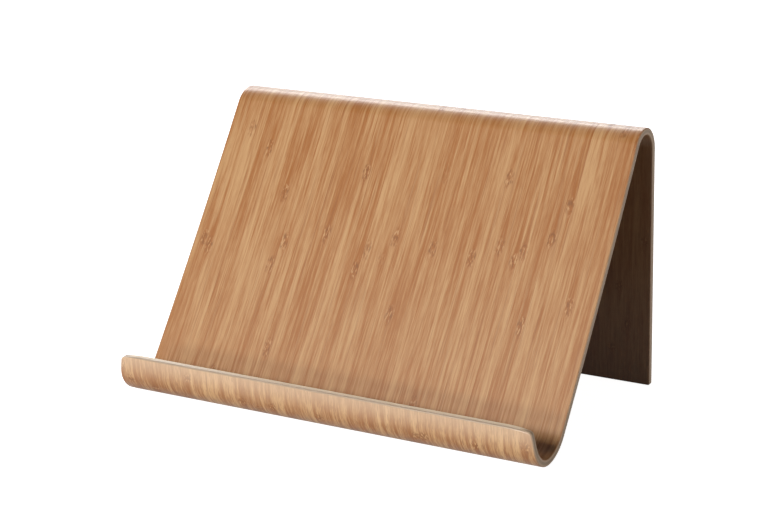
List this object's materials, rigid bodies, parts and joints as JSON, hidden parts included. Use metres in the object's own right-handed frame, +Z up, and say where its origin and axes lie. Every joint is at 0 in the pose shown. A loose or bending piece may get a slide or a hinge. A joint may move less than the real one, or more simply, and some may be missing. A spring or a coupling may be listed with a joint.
{
  "type": "phone stand",
  "caption": "Free-standing bent-bamboo stand: a lipped trough holds the foot of a phone or tablet, a sloping panel backs it, and a rear leg props it.",
  "frame": {"origin": "on the table, under the middle of the stand's outline", "axes": "+X along the width, +Y from the lip to the rear leg, +Z up"},
  "size_m": [0.2624, 0.1681, 0.1575],
  "materials": {
    "bamboo_face": "satin clear lacquer over caramel bamboo strips",
    "bamboo_core": "sanded and lacquered edge, grain across the width",
    "bamboo_back": "satin clear lacquer over caramel bamboo strips"
  },
  "bodies": {
    "root": {"face_ply": "bamboo_face", "core_ply": "bamboo_core", "under_ply": "bamboo_back"}
  },
  "joints": []
}
